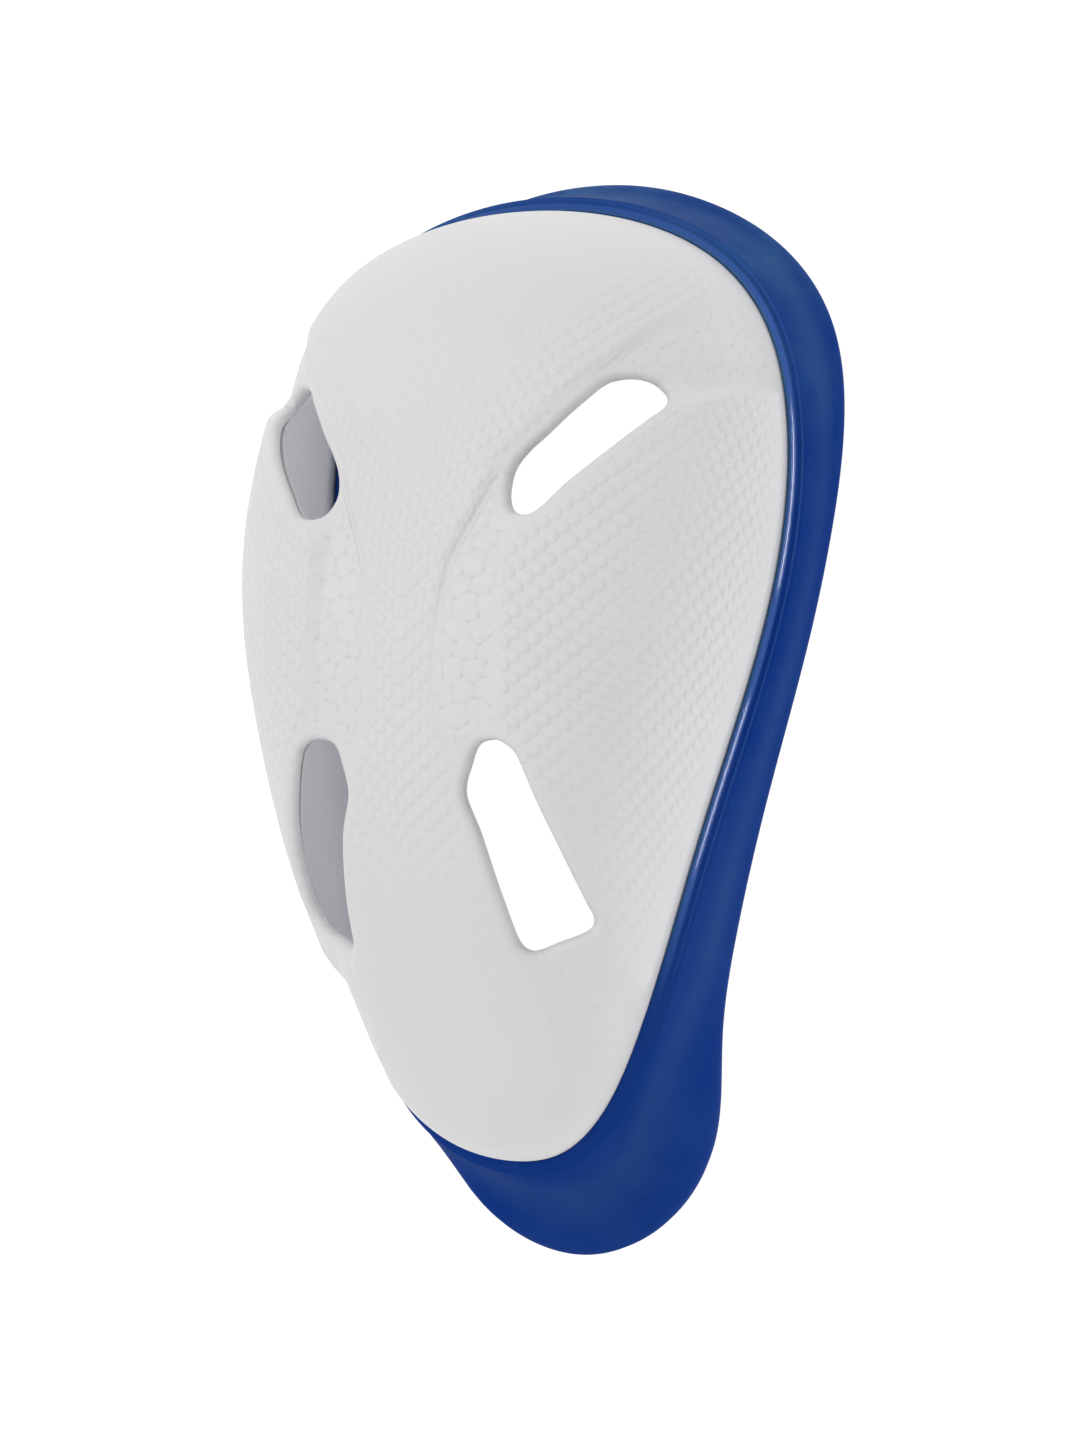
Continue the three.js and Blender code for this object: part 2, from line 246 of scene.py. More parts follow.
# Outlines of the two slots on one side, in plan
upper_slot = [
    (28.4, 50.4), (30.6, 50), (32.3, 48.8), (33, 47.1), (32.8, 45.4), (31.6, 43.5), (29.9, 41.3),
    (28.3, 39.3), (26.2, 36.9), (23.1, 33.5), (20.9, 30.8), (19.2, 29.6), (17, 29.8),
    (15.6, 31.1), (14.8, 33.6), (15.1, 36.6), (16.7, 39.3), (19.2, 42.1), (21.5, 44.9),
    (23.6, 47.3), (25.9, 49.7),
]
lower_slot = [
    (13.7, -3.3), (15.5, -3.2), (17.1, -4), (18.3, -5.8), (20, -11.8), (21.3, -17),
    (22.2, -22.1), (22.7, -26.5), (22.8, -28.9), (22.2, -30.7), (20.9, -32), (19.2, -33.1),
    (17.2, -34.2), (15.5, -34.5), (14.3, -33.5), (13.8, -31.1), (13.2, -26.4), (11.7, -17.4),
    (10, -12), (10, -9.6), (10.8, -7.2), (11.6, -5), (12.5, -3.8),
]
outer_lip = 1.3
inner_lip = 0.5
lip_steps = 5
weld_gap = 0.15
trim_steps = 5
slot_reach = 4
# A boundary vertex within these bounds is at a slot's edge, and past them at the seam
widest_slot_turn = 0.97
nearest_slot_row = 0.5


def blended(rows, place, crosses_middle=()):
    """Table rows read between them, as a uniform cubic B-spline with mirrored ends."""
    table = np.array(rows, float)
    mirror = np.ones(table.shape[1])
    mirror[list(crosses_middle)] = -1
    table = np.vstack([table[1] * mirror, table, table[-2] * mirror])
    first = np.clip(np.floor(place).astype(int), 0, len(rows) - 2)
    f = (place - first)[..., None]
    weights = ((1 - f) ** 3, 3 * f**3 - 6 * f**2 + 4, -3 * f**3 + 3 * f**2 + 3 * f + 1, f**3)
    return sum(weight * table[first + k] for k, weight in enumerate(weights)) / 6


def signed_power(value, exponent):
    return np.sign(value) * np.abs(value) ** exponent


def dome(place, turn):
    """Plain dome: place runs down the rows, turn from -1 at one seam to 1 at the other."""
    columns = np.moveaxis(blended(shell_rows, place, crosses_middle=(1, 3)), -1, 0)
    along, across, seam, rise, fullness = columns
    angle = turn * np.pi / 2
    x = shell_width / 2 * across * signed_power(np.sin(angle), 2 / fullness)
    z = seam_height * seam + dome_height * rise * signed_power(np.cos(angle), 2 / fullness)
    return np.stack([x, shell_middle + shell_length / 2 * along + 0 * z, z], -1)


def dome_normals(place, turn):
    small = 1e-3
    lengthwise = dome(place + small, turn) - dome(place - small, turn)
    crosswise = dome(place, turn + small) - dome(place, turn - small)
    normal = np.cross(lengthwise, crosswise)
    normal /= np.maximum(np.linalg.norm(normal, axis=-1, keepdims=True), 1e-12)
    normal[place <= 0] = (0, 1, 0)
    normal[place >= last_row] = (0, -1, 0)
    return normal


def smooth_step(value, low, high):
    share = np.clip((value - low) / (high - low), 0, 1)
    return share * share * (3 - 2 * share)


def curve_through(points, steps, closed=False):
    """Smooth curve through points, as a dense line of points."""
    points = np.array(points, float)
    if closed:
        ring = np.vstack([points[-1], points, points[:2]])
    else:
        ring = np.vstack([2 * points[0] - points[1], points, 2 * points[-1] - points[-2]])
    f = (np.arange(steps) / steps)[:, None]
    spans = []
    for a, b, c, d in zip(ring, ring[1:], ring[2:], ring[3:]):
        cubic = (3 * b - a - 3 * c + d) * f**3 + (2 * a - 5 * b + 4 * c - d) * f**2
        spans.append((cubic + (c - a) * f + 2 * b) / 2)
    return np.vstack(spans + ([] if closed else [points[-1:]]))


def nearest_on(points, line, closed=False):
    """Distance from each plan point to a line of points, and the nearest point on it."""
    starts = line if closed else line[:-1]
    ends = np.roll(line, -1, axis=0) if closed else line[1:]
    spans = ends - starts
    flat = points.reshape(-1, 2)
    distance = np.empty(len(flat))
    nearest = np.empty((len(flat), 2))
    for k in range(0, len(flat), 4000):
        block = flat[k : k + 4000, None, :]
        share = ((block - starts) * spans).sum(-1) / (spans**2).sum(-1)
        feet = starts + np.clip(share, 0, 1)[..., None] * spans
        gaps = np.linalg.norm(block - feet, axis=-1)
        best = gaps.argmin(1)
        rows = np.arange(len(best))
        distance[k : k + 4000] = gaps[rows, best]
        nearest[k : k + 4000] = feet[rows, best]
    return distance.reshape(points.shape[:-1]), nearest.reshape(points.shape)


def inside(points, ring):
    """Whether plan points lie in a closed ring, by counting its crossings."""
    x, y = points[..., 0], points[..., 1]
    odd = np.zeros(points.shape[:-1], bool)
    for (ax, ay), (bx, by) in zip(ring, np.roll(ring, -1, axis=0)):
        if ay != by:
            crosses = (ay > y) != (by > y)
            odd ^= crosses & (x < ax + (y - ay) / (by - ay) * (bx - ax))
    return odd


body_line = curve_through(body_edge, 6)
cheek_line = curve_through(cheek_edge, 6)
slot_rings = [curve_through(slot, 5, closed=True) for slot in (upper_slot, lower_slot)]


def beyond(points, line):
    """Distance past an edge that runs down the shell, below 0 on the middle's side."""
    distance, _ = nearest_on(points, line)
    edge = np.interp(points[..., 1], line[::-1, 1], line[::-1, 0])
    return np.where(points[..., 0] > edge, distance, -distance)


def slot_gap(plan):
    """Distance outside the nearest slot, below 0 in it, and the plan direction away from it."""
    folded = np.stack([np.abs(plan[..., 0]), plan[..., 1]], -1)
    gap = np.full(plan.shape[:-1], np.inf)
    away = np.zeros(plan.shape)
    for ring in slot_rings:
        distance, nearest = nearest_on(folded, ring, closed=True)
        sign = np.where(inside(folded, ring), -1.0, 1.0)
        direction = (folded - nearest) / np.maximum(distance, 1e-6)[..., None] * sign[..., None]
        closer = distance * sign < gap
        gap = np.where(closer, distance * sign, gap)
        away = np.where(closer[..., None], direction, away)
    away[..., 0] *= np.where(plan[..., 0] < 0, -1, 1)
    return gap, away


def panels(points):
    """Distances of surface points past the body's edge and past the cheek's edge."""
    plan = np.stack([np.abs(points[..., 0]), points[..., 1]], -1)
    return beyond(plan, body_line), beyond(plan, cheek_line)


def relief(points, past_body, past_cheek, over_seam):
    """How far the valley and the cheek move the dome. Their steps grow wider near a slot."""
    heights, depths = np.array(valley_depths).T
    depth = np.interp(points[..., 1], heights, depths)
    gap, _ = slot_gap(points[..., :2])
    wider = 1 + 3 * (1 - smooth_step(gap, 0, 5))
    off_body = smooth_step(past_body / wider, -0.9, 0.5)
    on_cheek = smooth_step(past_cheek / wider, -1.5, 1.5)
    fade = smooth_step(over_seam, 0, seam_fade)
    return fade * (cheek_rise * on_cheek - depth * off_body * (1 - on_cheek))


# The dots' slanted lattice, as steps across and along the surface, and the scales' pitch.
# A dot's height is partly in the mesh and partly bump. Scales and creases are bump alone
dot_first = (1.46, 1.28)
dot_second = (-1.4, 2.03)
dot_reach = 1.05
dot_rise = 0.07
dot_bump = 0.2
scale_pitch = 3.7
scale_row = 3.2
scale_reach = 2
scale_warp = 3
scale_bump = 0.2
crease_bump = 0.16
peel_bump = 0.15
crease_middle = 0.35
crease_reach = 0.6
# How strong the dots and scales are, by y
body_dot_strengths = [(-48, 0.06), (-30, 0.3), (-12, 0.75), (25, 0.8), (42, 0.5), (62, 0.3), (76, 0.1)]
cheek_dot_strengths = [(-58, 0.1), (-40, 0.3), (-24, 0.6), (0, 1), (60, 1)]
scale_strengths = [(-60, 0.35), (-38, 0.5), (-12, 1), (25, 1), (42, 0.8), (62, 0.8)]


def dot_shape(across, along, reach):
    """Height of the nearest dot, from 0 to 1."""
    spread = dot_first[0] * dot_second[1] - dot_first[1] * dot_second[0]
    i = (across * dot_second[1] - along * dot_second[0]) / spread
    j = (along * dot_first[0] - across * dot_first[1]) / spread
    i -= np.round(i)
    j -= np.round(j)
    squared = (i * np.hypot(*dot_first)) ** 2 + (j * np.hypot(*dot_second)) ** 2
    return np.clip(1 - squared / reach**2, 0, 1)


def bare_plan(place, turn, depth):
    """Plan points of a skin without its relief, where the slots are marked out."""
    return (dome(place, turn) - depth * dome_normals(place, turn))[..., :2]


def surface(place, turn, depth):
    """Points of the skin at a depth under the outer one, with the plain relief."""
    points = dome(place, turn)
    seam = seam_height * blended(shell_rows, place)[..., 2]
    past_body, past_cheek = panels(points)
    move = relief(points, past_body, past_cheek, points[..., 2] - seam) - depth
    return points + move[..., None] * dome_normals(place, turn)


def even_grid(stations, columns):
    """Places and turns of a grid whose cells are about as long as they are wide."""
    fine = np.linspace(0, last_row, 1600)
    shares = []
    for turn in (0.0, 0.6, 1.0):
        steps = np.linalg.norm(np.diff(dome(fine, np.full_like(fine, turn)), axis=0), axis=1)
        length = np.concatenate([[0], np.cumsum(steps)])
        shares.append(length / length[-1])
        if turn == 0.6:
            middle_length = length
    mean_share = sum(shares) / len(shares)
    places = np.interp(np.linspace(0, 1, stations + 1), mean_share, fine)
    along = np.interp(places, fine, middle_length[::-1])
    turns = np.linspace(0, 1, 700) ** 1.5
    profile = dome(places[:, None] + 0 * turns, turns + 0 * places[:, None])
    steps = np.linalg.norm(np.diff(profile, axis=1), axis=2)
    length = np.concatenate([np.zeros((stations + 1, 1)), np.cumsum(steps, axis=1)], axis=1)
    wanted = np.abs(np.linspace(-1, 1, columns + 1))
    side = np.sign(np.linspace(-1, 1, columns + 1))
    turn = np.array([np.interp(wanted * row[-1], row, turns) for row in np.maximum(length, 1e-9)])
    turn[[0, -1]] = wanted
    across = wanted * length[:, -1:]
    place = places[:, None] + 0 * turn
    return place, turn * side, across, along[:, None] + 0 * turn


def lip_turn(place, turn, away, inward):
    """Axes of the rounding at a slot's edge, how far it sweeps and how far it reaches."""
    normal = dome_normals(place, turn) * (-1 if inward else 1)
    wall = np.array([0, 0, 1 if inward else -1])
    outward = np.concatenate([away, np.zeros(away.shape[:-1] + (1,))], -1)
    towards = (outward * normal).sum(-1, keepdims=True) * normal - outward
    towards /= np.maximum(np.linalg.norm(towards, axis=-1, keepdims=True), 1e-9)
    sweep = np.arctan2(-(normal @ wall), towards @ wall)
    ends = np.sin(sweep)[..., None] * towards + (np.cos(sweep) - 1)[..., None] * normal
    return normal, towards, sweep, -(ends * outward).sum(-1)


def trimmed(place, turn, depth, radius, inward):
    """Grid with its slot edges moved onto the outlines, and which faces stay."""
    gap, away = slot_gap(bare_plan(place, turn, depth))
    near = np.abs(gap) < slot_reach
    reach = np.zeros_like(gap)
    reach[near] = radius * lip_turn(place[near], turn[near], away[near], inward)[3]
    spare = gap - reach
    middle = (spare[1:, 1:] + spare[1:, :-1] + spare[:-1, 1:] + spare[:-1, :-1]) / 4
    kept = middle > 0
    lost = np.pad(~kept, 1)
    some_lost = lost[1:, 1:] | lost[1:, :-1] | lost[:-1, 1:] | lost[:-1, :-1]
    some_kept = np.pad(kept, 1)
    some_kept = some_kept[1:, 1:] | some_kept[1:, :-1] | some_kept[:-1, 1:] | some_kept[:-1, :-1]
    rows, columns = np.nonzero(some_lost & some_kept)
    p, t = place[rows, columns], turn[rows, columns]
    small = 1e-4
    for _ in range(trim_steps):
        here = bare_plan(p, t, depth)
        gap, away = slot_gap(here)
        target = radius * lip_turn(p, t, away, inward)[3]
        step = (target - gap)[:, None] * away
        by_place = (bare_plan(p + small, t, depth) - here) / small
        by_turn = (bare_plan(p, t + small, depth) - here) / small
        jacobian = np.stack([by_place, by_turn], -1)
        move = np.linalg.solve(jacobian, step[..., None])[..., 0]
        p = p + np.clip(move[:, 0], -0.1, 0.1)
        t = t + np.clip(move[:, 1], -0.05, 0.05)
    place, turn = place.copy(), turn.copy()
    place[rows, columns] = p
    turn[rows, columns] = t
    return place, turn, kept


def add_skin(mesh, points, kept, values, layers):
    """Grid of faces laid on the skin's points, without the faces that lie in a slot."""
    stations, columns = points.shape[0] - 1, points.shape[1] - 1
    grid = bmesh.ops.create_grid(mesh, x_segments=columns, y_segments=stations, size=1)
    place_of = {}
    for vert in grid["verts"]:
        i = round((vert.co.y + 1) / 2 * stations)
        j = round((vert.co.x + 1) / 2 * columns)
        vert.co = Vector(points[i, j]) / 1000
        place_of[vert] = (i, j)
        for layer, value in zip(layers, values):
            vert[layer] = value[i, j]
    faces = {face for vert in grid["verts"] for face in vert.link_faces}
    lost = []
    for face in faces:
        corners = [place_of[vert] for vert in face.verts]
        if not kept[min(i for i, _ in corners), min(j for _, j in corners)]:
            lost.append(face)
    bmesh.ops.delete(mesh, geom=lost, context="FACES")
    return {vert: place for vert, place in place_of.items() if vert.is_valid}


def clear_of_the_seam(place, turn):
    """Whether a boundary vertex is too far from the seam to be on it."""
    rows = nearest_slot_row < place < last_row - nearest_slot_row
    return abs(turn) < widest_slot_turn and rows


def welded(mesh, skin, place, turn):
    """Merge the vertices at the slots' edges that trimming has brought close together."""
    edge_verts = []
    for vert, (i, j) in skin.items():
        if clear_of_the_seam(place[i, j], turn[i, j]):
            if any(edge.is_boundary for edge in vert.link_edges):
                edge_verts.append(vert)
    bmesh.ops.remove_doubles(mesh, verts=edge_verts, dist=weld_gap / 1000)
    return {vert: spot for vert, spot in skin.items() if vert.is_valid}


def grow(mesh, edges, places):
    """Extrude a loop of edges, and give each new vertex the place of the one it came from."""
    old = {vert for edge in edges for vert in edge.verts}
    made = bmesh.ops.extrude_edge_only(mesh, edges=edges)["geom"]
    new = {item for item in made if isinstance(item, bmesh.types.BMVert)}
    sources = {}
    for vert in new:
        for edge in vert.link_edges:
            other = edge.other_vert(vert)
            if other in old:
                sources[vert] = other
                vert.co = places[other]
    ring = {edge for vert in new for edge in vert.link_edges if edge.other_vert(vert) in new}
    return list(ring), sources


def round_slot_edges(mesh, skin, place, turn, depth, radius, inward):
    """Roll the skin over into each slot, and return the four rings where the wall starts."""
    points = surface(place, turn, depth)
    rims = {}
    for vert, (i, j) in skin.items():
        if clear_of_the_seam(place[i, j], turn[i, j]):
            for edge in vert.link_edges:
                if edge.is_boundary:
                    x, y = points[i, j, :2]
                    rims.setdefault((x > 0, y > 0), set()).add(edge)
    rings = {}
    for slot, edges in sorted(rims.items()):
        edges = list(edges)
        verts = list({vert for edge in edges for vert in edge.verts})
        rows, columns = np.array([skin[vert] for vert in verts]).T
        base = points[rows, columns]
        _, away = slot_gap(bare_plan(place[rows, columns], turn[rows, columns], depth))
        placed = lip_turn(place[rows, columns], turn[rows, columns], away, inward)
        normal, towards, sweep, _ = placed
        source = {vert: vert for vert in verts}
        order = {vert: k for k, vert in enumerate(verts)}
        for step in range(1, lip_steps + 1):
            angle = (sweep * step / lip_steps)[:, None]
            moved = base + radius * (np.sin(angle) * towards + (np.cos(angle) - 1) * normal)
            places = {vert: Vector(moved[order[first]]) / 1000 for vert, first in source.items()}
            edges, sources = grow(mesh, edges, places)
            source = {vert: source[old] for vert, old in sources.items()}
        rings[slot] = edges
    return rings


def seam_loop(skin, place, turn):
    """Boundary edges round the seam."""
    on_seam = {v for v, (i, j) in skin.items() if abs(turn[i, j]) > 0.999 or i in (0, len(turn) - 1)}
    edges = {edge for vert in on_seam for edge in vert.link_edges if edge.is_boundary}
    return [edge for edge in edges if all(vert in on_seam for vert in edge.verts)]


def lowered(edges, drop):
    verts = {vert for edge in edges for vert in edge.verts}
    return {vert: vert.co - Vector((0, 0, drop / 1000)) for vert in verts}


cup_mesh = bmesh.new()
layer_names = ("across", "along", "dots", "scales", "past_body", "crease")
layers = [cup_mesh.verts.layers.float.new(name) for name in layer_names]

place, turn, across, along = even_grid(outer_stations, outer_columns)
place, turn, kept = trimmed(place, turn, 0, outer_lip, False)
plain = dome(place, turn)
past_body, past_cheek = panels(plain)
over_seam = plain[..., 2] - seam_height * blended(shell_rows, place)[..., 2]
normals = dome_normals(place, turn)
points = surface(place, turn, 0)
gap, _ = slot_gap(plain[..., :2])
y = points[..., 1]
clear_of_slots = smooth_step(gap, 0.9, 2.4)
clear_of_seam = smooth_step(over_seam, 0.5, 3)
on_body = 1 - smooth_step(past_body, -1.6, -0.2)
on_cheek = smooth_step(past_cheek, 0.4, 1.8)
body_dots = np.interp(y, *np.array(body_dot_strengths).T)
body_dots = body_dots + 0.4 * smooth_step(past_body, -14, -4) * smooth_step(y, 25, 45)
cheek_dots = np.interp(y, *np.array(cheek_dot_strengths).T)
cheek_dots = cheek_dots * (0.15 + 0.85 * smooth_step(over_seam, 1, 12))
dots = (on_body * body_dots + on_cheek * cheek_dots) * clear_of_slots * clear_of_seam
in_valley = smooth_step(past_body, 0.4, 1.4) * (1 - smooth_step(past_cheek, -0.8, 0.6))
valley_scales = np.interp(y, *np.array(scale_strengths).T)
scales = in_valley * valley_scales * clear_of_slots * clear_of_seam
rise = dot_rise * dots * dot_shape(across, along, dot_reach)
points = points + rise[..., None] * normals
crease = np.interp(y, *np.array(crease_strengths).T) * smooth_step(gap, 0.4, 1.5)
surface_values = (across, along, dots, scales, past_body, crease)
outer_skin = add_skin(cup_mesh, points, kept, surface_values, layers)
outer_skin = welded(cup_mesh, outer_skin, place, turn)
outer_rings = round_slot_edges(cup_mesh, outer_skin, place, turn, 0, outer_lip, False)
outer_seam = seam_loop(outer_skin, place, turn)

zeros = np.zeros((inner_stations + 1, inner_columns + 1))
inner_place, inner_turn, _, _ = even_grid(inner_stations, inner_columns)
inner_place, inner_turn, inner_kept = trimmed(
    inner_place, inner_turn, shell_wall, inner_lip, True
)
inner_points = surface(inner_place, inner_turn, shell_wall)
inner_skin = add_skin(cup_mesh, inner_points, inner_kept, (zeros,) * 6, layers)
inner_skin = welded(cup_mesh, inner_skin, inner_place, inner_turn)
inner_rings = round_slot_edges(
    cup_mesh, inner_skin, inner_place, inner_turn, shell_wall, inner_lip, True
)
inner_seam = seam_loop(inner_skin, inner_place, inner_turn)

for slot in sorted(outer_rings):
    bmesh.ops.bridge_loops(cup_mesh, edges=outer_rings[slot] + inner_rings[slot])
outer_foot, _ = grow(cup_mesh, outer_seam, lowered(outer_seam, skirt_depth))
inner_foot, _ = grow(cup_mesh, inner_seam, lowered(inner_seam, skirt_depth))
bmesh.ops.bridge_loops(cup_mesh, edges=outer_foot + inner_foot)
bmesh.ops.remove_doubles(cup_mesh, verts=cup_mesh.verts[:], dist=1e-6)
bmesh.ops.recalc_face_normals(cup_mesh, faces=cup_mesh.faces[:])


def piece_from(mesh, name):
    """Smooth-shaded object made of a finished bmesh."""
    for face in mesh.faces:
        face.smooth = True
    data = bpy.data.meshes.new(name)
    mesh.to_mesh(data)
    mesh.free()
    piece = bpy.data.objects.new(name, data)
    bpy.context.scene.collection.objects.link(piece)
    return piece


cup = piece_from(cup_mesh, "moulded_cup")

plastic = Finish("matte_white_plastic")
across = plastic.attribute("across")
along = plastic.attribute("along")
spread = dot_first[0] * dot_second[1] - dot_first[1] * dot_second[0]
i = (across * (dot_second[1] / spread) - along * (dot_second[0] / spread)).over_cell()
j = (along * (dot_first[0] / spread) - across * (dot_first[1] / spread)).over_cell()
i = i * math.hypot(*dot_first)
j = j * math.hypot(*dot_second)
dot = (1 - (i * i + j * j) / dot_reach**2).clamp()
dot = dot * plastic.attribute("dots")
warped_across = across + (plastic.noise(210, detail=1) - 0.5) * scale_warp
warped_along = along + (plastic.noise(260, detail=1, stretch=(1, 1, 1.3)) - 0.5) * scale_warp
cells = []
for shift in (0, 0.5):
    i = (warped_across / scale_pitch - shift).over_cell() * scale_pitch
    j = (warped_along / (2 * scale_row) - shift).over_cell() * (2 * scale_row)
    cells.append(i * i + j * j)
scale = (1 - cells[0].math("MINIMUM", cells[1]) / scale_reach**2).clamp()
scale = scale.math("POWER", 0.5) * plastic.attribute("scales")
waver = plastic.noise(420, detail=2) - 0.5
from_crease = (plastic.attribute("past_body") - crease_middle + waver * 0.9) / crease_reach
crease = (1 - from_crease * from_crease).clamp() * plastic.attribute("crease")
peel = plastic.noise(620, detail=3, roughness=0.55)
height = dot * dot_bump + scale * scale_bump - crease * crease_bump + peel * peel_bump
cup.data.materials.append(
    plastic.finish(
        "ShaderNodeBsdfPrincipled",
        {
            "Base Color": plastic.mixed(
                plastic.noise(60, detail=4), (0.735, 0.737, 0.742, 1), (0.77, 0.77, 0.77, 1)
            ),
            "Roughness": 0.5 + 0.12 * plastic.noise(240),
            "IOR": 1.46,
            "Normal": plastic.bump(height),
        },
    )
)
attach(cup, "root")
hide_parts("cup_shell")

# Rim: one soft rubber moulding round the cup. The cup's skirt sits in its groove, a small
# bead and a ridge follow the cup's edge, a hollow flank runs out to a rolled lip, and the
# back is a flat land that rests on the table.
top_flare = 6
side_flare = 4.3
bottom_flare = 16.2
side_arch = 8
top_lip = 3
bottom_lip = 11
pad_back = 4.4
back_round = 1.2
inner_width = 1.8
seat_gap = 0.3
rim_stations = 420

# top, side, bottom, arch and lip shares, from the waist end downwards
rim_rows = [
    (1.05, 0, 0, 0, 0),
    (0.9, 0.36, 0, 0, 0.04),
    (0.56, 0.6, 0, 0, 0.07),
    (0.25, 0.73, 0, 0.06, 0.1),
    (0.08, 0.7, 0, 0.33, 0.14),
    (0, 0.44, 0, 0.6, 0.17),
    (0, 0.33, 0.06, 0.88, 0.21),
    (0, 0.31, 0.06, 1, 0.24),
    (0, 0.33, 0.06, 1, 0.29),
    (0, 0.25, 0.06, 0.81, 0.36),
    (0, 0.3, 0.185, 0.44, 0.65),
    (0, 1.45, 0.46, 0, 1),
    (0, 1.5, 0.815, 0, 0.975),
    (0, 0, 1.0925, 0, 0.75),
]
# Bead and ridge beside the cup's edge: distance out of the seam and height over it. They
# run down the two sides and sink into a plain slope at the waist and at the lower end
bead_line = curve_through(
    [
        (0.05, -4.3), (0.05, -2.2), (0.05, -0.5), (0.1, -0.14), (0.25, 0.08), (0.5, 0.16),
        (0.72, 0.1), (0.9, -0.026), (1.08, -0.152), (1.26, -0.278), (1.44, -0.5), (1.6, -0.85),
        (1.76, -1), (1.92, -1),
        (2.12, -1.08), (2.3, -1.26), (2.41, -1.52), (2.46, -1.9),
    ],
    3,
)
bead_strengths = [(-44, 0), (-24, 1), (60, 1), (76, 0.4)]
slope_drop = 1.8
# How glossy the bead is, and where a painted highlight makes it paler, by distance out of the seam
bead_shine = [
    (0.3, 0.15), (0.7, 1), (1.3, 1), (1.42, 0), (1.8, 0), (1.9, 0.2), (2.1, 0.2), (2.3, 0),
]
painted_highlight_shares = [
    (0.6, 0), (0.75, 1), (1.2, 1), (1.35, 0), (1.76, 0), (1.9, 0.6), (2.05, 0.6), (2.2, 0),
]
# Hollow flank: share of the way out and of the height left
flank_line = curve_through(
    [
        (0, 1), (0.05, 0.84), (0.14, 0.66), (0.27, 0.49), (0.43, 0.35), (0.62, 0.24),
        (0.8, 0.16), (0.94, 0.08), (1, 0),
    ],
    3,
)
# Where the flank is full, not hollow, by row
flank_fullness = [(9.4, 0), (10.5, 0.75), (11, 0.75), (12, 0)]
# Painted sheen on the hollow flank, a paler blue that stands in for reflected light, by share of the
# way out
painted_flank_sheen = [(0, 0), (0.05, 0.1), (0.22, 1), (0.42, 0.8), (0.7, 0)]

ring = np.arange(rim_stations) / rim_stations * 2 * last_row
rim_side = np.where(ring <= last_row, 1.0, -1.0)
rim_place = np.where(ring <= last_row, ring, 2 * last_row - ring)
ones = np.ones_like(rim_place)
seam = dome(rim_place, ones)
out = dome_normals(rim_place, ones)
top, side, bottom, arch, lip_share = blended(rim_rows, rim_place, crosses_middle=(1,)).T
lip_radius = top_lip + (bottom_lip - top_lip) * lip_share
lip = seam.copy()
lip[:, 0] += side_flare * side
lip[:, 1] += top_flare * top - bottom_flare * bottom
lip[:, 2] = side_arch * arch + lip_radius


def at(base, distance, height):
    """Points at a distance outwards from a line round the rim, at given heights."""
    point = base + out * np.reshape(distance, (-1, 1))
    point[:, 2] = height
    return point


strength = np.interp(seam[:, 1], *np.array(bead_strengths).T)
slope_width = bead_line[-1, 0]
section = []
for distance, up in bead_line:
    slope = min(up, -0.1 - slope_drop * (distance / slope_width) ** 1.6)
    section.append(at(seam, distance, seam[:, 2] + slope + (up - slope) * strength))
foot = section[-1]
fullness = np.interp(rim_place, *np.array(flank_fullness).T)
for share, up in flank_line[1:]:
    point = foot + (lip - foot) * share
    height = up + (1 - share**2 - up) * fullness
    point[:, 2] = lip[:, 2] + (foot[:, 2] - lip[:, 2]) * height
    section.append(point)
for angle in np.linspace(0, math.pi / 2, 10)[1:]:
    back = lip_radius * (1 - math.cos(angle))
    section.append(at(lip, -back, lip[:, 2] - lip_radius * math.sin(angle)))
land = side_arch * arch
back_width = lip_radius + pad_back
for share in np.linspace(0, 1, 6)[1:]:
    back = lip_radius + (pad_back - back_round) * share
    section.append(at(lip, -back, land))
for angle in np.linspace(0, math.pi / 2, 6)[1:]:
    back = back_width - back_round + back_round * math.sin(angle)
    section.append(at(lip, -back, land + back_round * (1 - math.cos(angle))))
inner_out = -shell_wall - seat_gap - inner_width
groove_floor = -skirt_depth - seat_gap
wall_top = at(seam, inner_out, seam[:, 2] + groove_floor - inner_width)
wall_foot = section[-1]
for share in np.linspace(0, 1, 9)[1:]:
    section.append(wall_foot + (wall_top - wall_foot) * share)
inner_line = curve_through(
    [
        (0, groove_floor - inner_width), (0, -3), (0, -1.4), (0.16, -0.7), (0.6, -0.25),
        (1.2, -0.25), (1.66, -0.6), (inner_width, -1.3), (inner_width, -3),
        (inner_width, groove_floor),
    ],
    3,
)
for step, up in inner_line[1:]:
    section.append(at(seam, inner_out + step, seam[:, 2] + up))
rim_points = np.stack(section, 1)
rim_points[..., 0] *= rim_side[:, None]

rim_mesh = bmesh.new()
ring_layer = rim_mesh.verts.layers.float.new("ring")
bead_layer = rim_mesh.verts.layers.float.new("bead")
# This layer carries painted sheen on the hollow flank
painted_flank_sheen_layer = rim_mesh.verts.layers.float.new("hollow")
# This layer carries a painted highlight on the bead's crest and ridge
painted_highlight_layer = rim_mesh.verts.layers.float.new("line")
strip_layer = rim_mesh.verts.layers.float.new("strip")
rim_columns = rim_points.shape[1]
bead_share = np.zeros(rim_columns)
bead_share[: len(bead_line)] = np.interp(bead_line[:, 0], *np.array(bead_shine).T)
strip_share = np.zeros(rim_columns)
strip_share[: len(bead_line)] = 1 - smooth_step(bead_line[:, 0], 0.5, 0.75)
# Painted highlight: where the bead's crest and ridge are painted a paler blue
painted_highlight_share = np.zeros(rim_columns)
painted_highlight_share[: len(bead_line)] = np.interp(bead_line[:, 0], *np.array(painted_highlight_shares).T)
# Painted sheen: where the hollow flank is painted a paler blue
painted_flank_sheen_share = np.zeros(rim_columns)
flank = slice(len(bead_line), len(bead_line) + len(flank_line) - 1)
painted_flank_sheen_share[flank] = np.interp(flank_line[1:, 0], *np.array(painted_flank_sheen).T)
grid = bmesh.ops.create_grid(
    rim_mesh, x_segments=rim_columns, y_segments=rim_stations, size=1
)
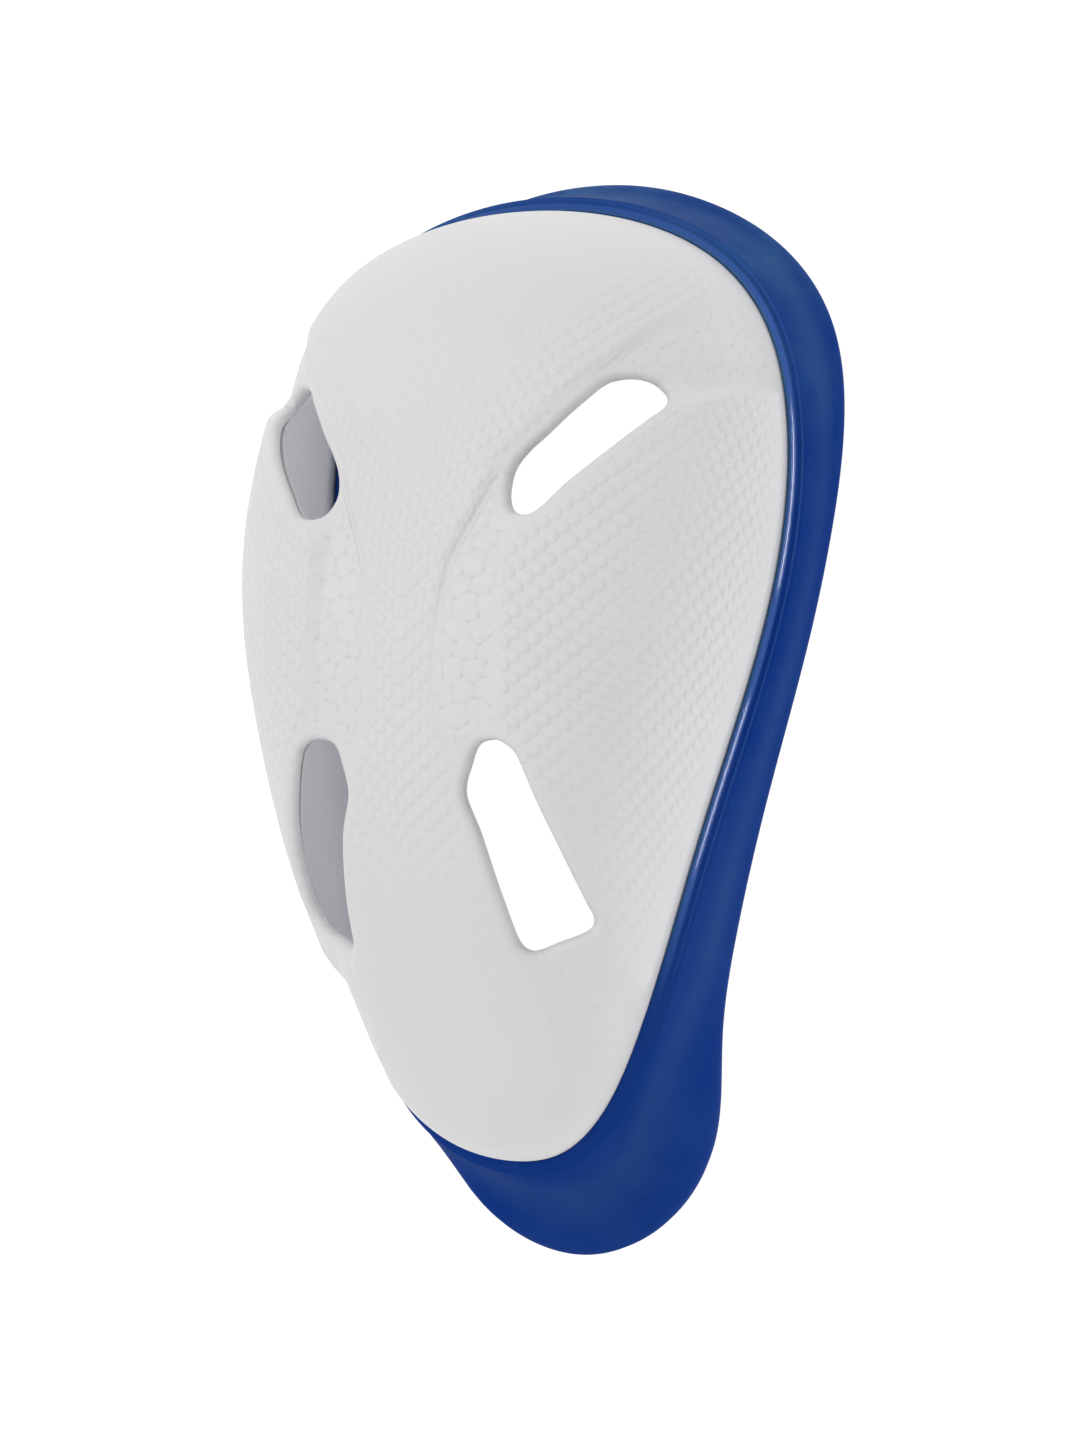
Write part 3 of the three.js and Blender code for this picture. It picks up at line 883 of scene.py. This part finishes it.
for vert in grid["verts"]:
    i = round((vert.co.y + 1) / 2 * rim_stations)
    j = round((vert.co.x + 1) / 2 * rim_columns)
    vert.co = Vector(rim_points[i % rim_stations, j % rim_columns]) / 1000
    vert[bead_layer] = bead_share[j % rim_columns] * strength[i % rim_stations]
    vert[strip_layer] = strip_share[j % rim_columns] * strength[i % rim_stations]
    vert[painted_flank_sheen_layer] = painted_flank_sheen_share[j % rim_columns]
    vert[painted_highlight_layer] = painted_highlight_share[j % rim_columns] * strength[i % rim_stations]
    vert[ring_layer] = min(i, rim_stations - i) / rim_stations * 2
bmesh.ops.remove_doubles(rim_mesh, verts=rim_mesh.verts[:], dist=1e-6)
bmesh.ops.recalc_face_normals(rim_mesh, faces=rim_mesh.faces[:])
rim = piece_from(rim_mesh, "rubber_rim")

rubber = Finish("glossy_blue_rubber")
cloud = rubber.noise(30, detail=5, roughness=0.62)
streak = rubber.noise(300, detail=2, stretch=(1, 0.12, 1))
grain = rubber.noise(900, detail=2)
# The rim's blue is mottled by cloud noise. It is also painted paler towards the waist end and on the
# hollow flank, as a painted sheen that stands in for reflected light
waist = (1 - rubber.attribute("ring") * 2.6).clamp()
mottle_and_sheen = ((cloud - 0.4) * 3).clamp() * (0.2 + 0.4 * waist) + 0.25 * waist
mottle_and_sheen = mottle_and_sheen + 0.18 * rubber.attribute("hollow")
patch = ((rubber.noise(70, detail=4, roughness=0.6) - 0.48) * 4).clamp() * waist * 0.4
bead = rubber.attribute("bead")
strip = rubber.attribute("strip") * (0.35 + 0.5 * grain)
deep_blue = rubber.mixed(mottle_and_sheen, (0.006, 0.037, 0.23, 1), (0.05, 0.122, 0.28, 1))
patched_blue = rubber.mixed(patch, deep_blue, (0.06, 0.2, 0.34, 1))
# Painted highlight: a paler blue line along the bead's crest and ridge, where the strip lamps'
# reflections fall
blue_with_painted_highlight = rubber.mixed(rubber.attribute("line"), patched_blue, (0.02, 0.1, 0.42, 1))
rim.data.materials.append(
    rubber.finish(
        "ShaderNodeBsdfPrincipled",
        {
            "Base Color": rubber.mixed(strip, blue_with_painted_highlight, (0.04, 0.15, 0.32, 1)),
            "Roughness": 0.34 + 0.12 * cloud,
            "Specular IOR Level": 0.002,
            "Coat Weight": bead,
            "Coat Roughness": 0.06,
            "Normal": rubber.bump(cloud * 0.3 + streak * 0.03 + grain * strip * 0.1),
        },
    )
)
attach(rim, "root")
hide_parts("rim_pad")
